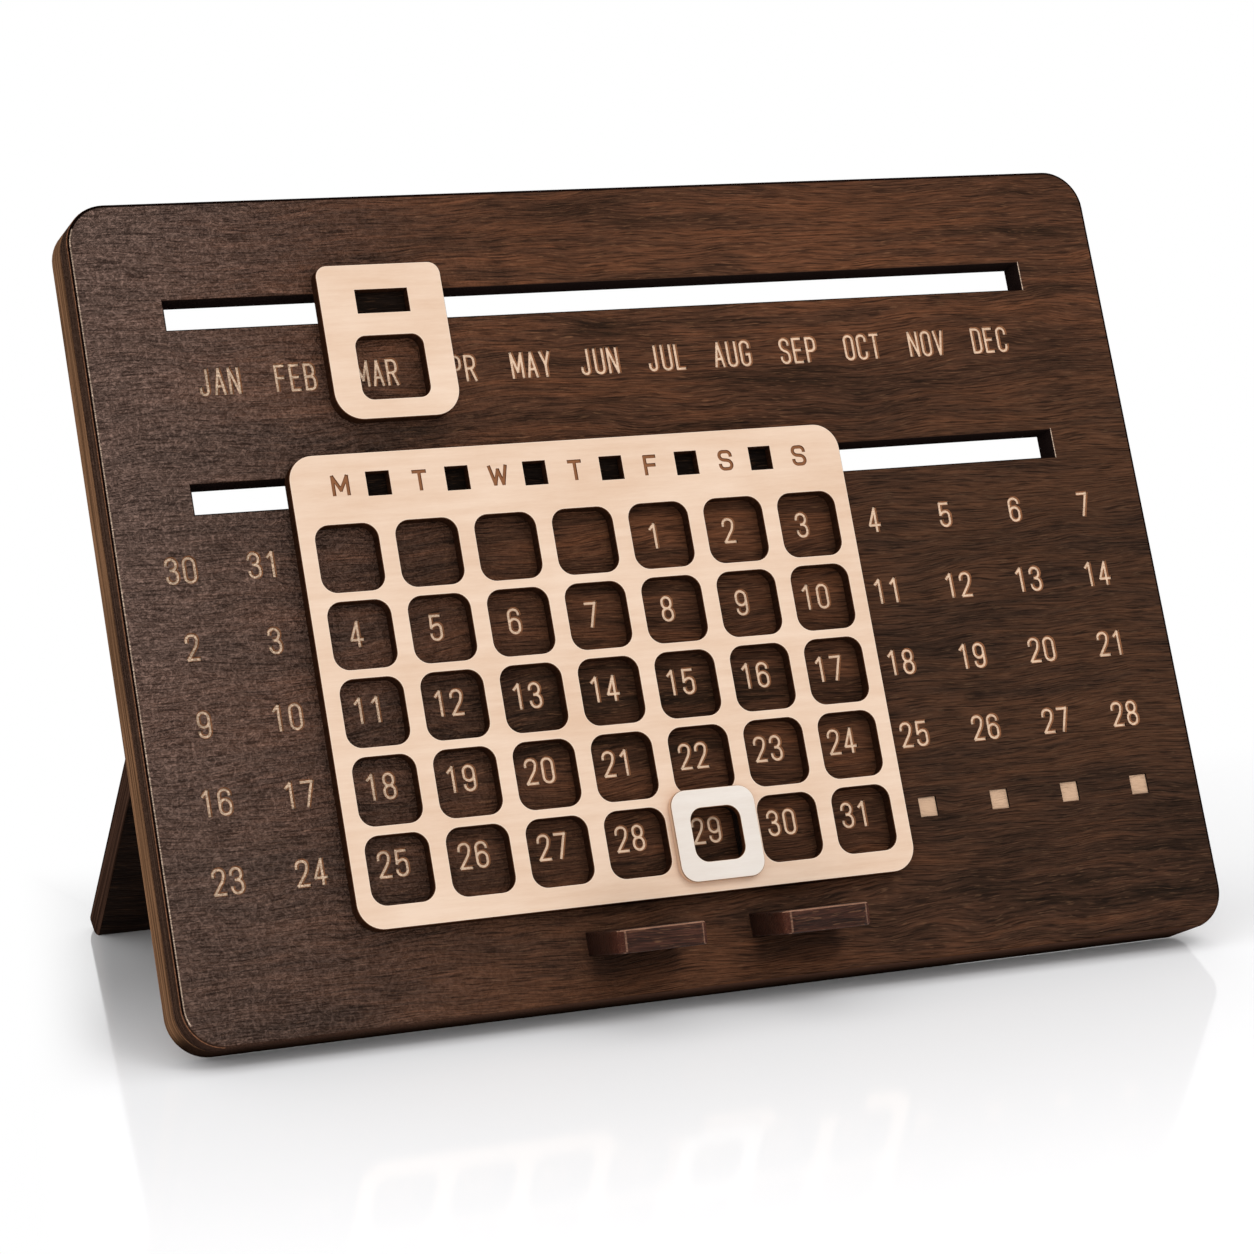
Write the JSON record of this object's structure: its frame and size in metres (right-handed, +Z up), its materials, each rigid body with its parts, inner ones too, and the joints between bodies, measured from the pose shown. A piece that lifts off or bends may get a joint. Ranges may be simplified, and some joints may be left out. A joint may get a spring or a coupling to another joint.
{
  "type": "perpetual desk calendar",
  "caption": "Leaning wooden board with a sliding month window, a sliding week frame over engraved dates, a plug-in date marker, pen tabs and a folding rear leg.",
  "frame": {"origin": "middle of the footprint at desk level, under the calendar", "axes": "+X along the boards to the reader's right, +Y from the reader to the back, +Z up"},
  "size_m": [0.3, 0.1664, 0.2075],
  "materials": {
    "walnut": "oiled dark walnut",
    "walnut_back": "oiled lighter walnut",
    "maple": "pale matt wood with burnt cut edges",
    "ivory": "white-stained, matt",
    "brass": "brushed"
  },
  "bodies": {
    "stand": {"front_board": "walnut", "rear_board": "walnut_back", "ledge_tab_left": "walnut", "ledge_tab_right": "walnut", "board_leaf_left": "brass", "board_leaf_right": "brass", "hinge_pin_left": "brass", "hinge_pin_right": "brass", "board_leaf_screws": "brass"},
    "month": {"month_slider": "maple", "month_runner": "walnut", "month_keeper": "walnut_back", "month_keeper_screws": "brass"},
    "week": {"week_frame": "maple", "week_runner": "walnut", "week_keeper": "walnut_back", "week_keeper_screws": "brass"},
    "marker": {"date_marker": "ivory", "marker_spigot": "walnut"},
    "leg": {"rear_leg": "walnut", "leg_leaf_left": "brass", "leg_leaf_right": "brass", "leg_leaf_screws": "brass"}
  },
  "joints": [
    {"name": "month_slide", "type": "slide", "parent": "stand", "child": "month", "axis": [1, 0, 0], "range_m": [-0.046, 0.1814]},
    {"name": "week_slide", "type": "slide", "parent": "stand", "child": "week", "axis": [1, 0, 0], "range_m": [-0.044, 0.088]},
    {"name": "marker_lift", "type": "slide", "parent": "week", "child": "marker", "axis": [0, -0.9135, 0.4067], "range_m": [0, 0.012]},
    {"name": "leg_fold", "type": "hinge", "parent": "stand", "child": "leg", "pos_m": [0, -0.00373, 0.10491], "axis": [-1, 0, 0], "range_deg": [0, 61]}
  ]
}
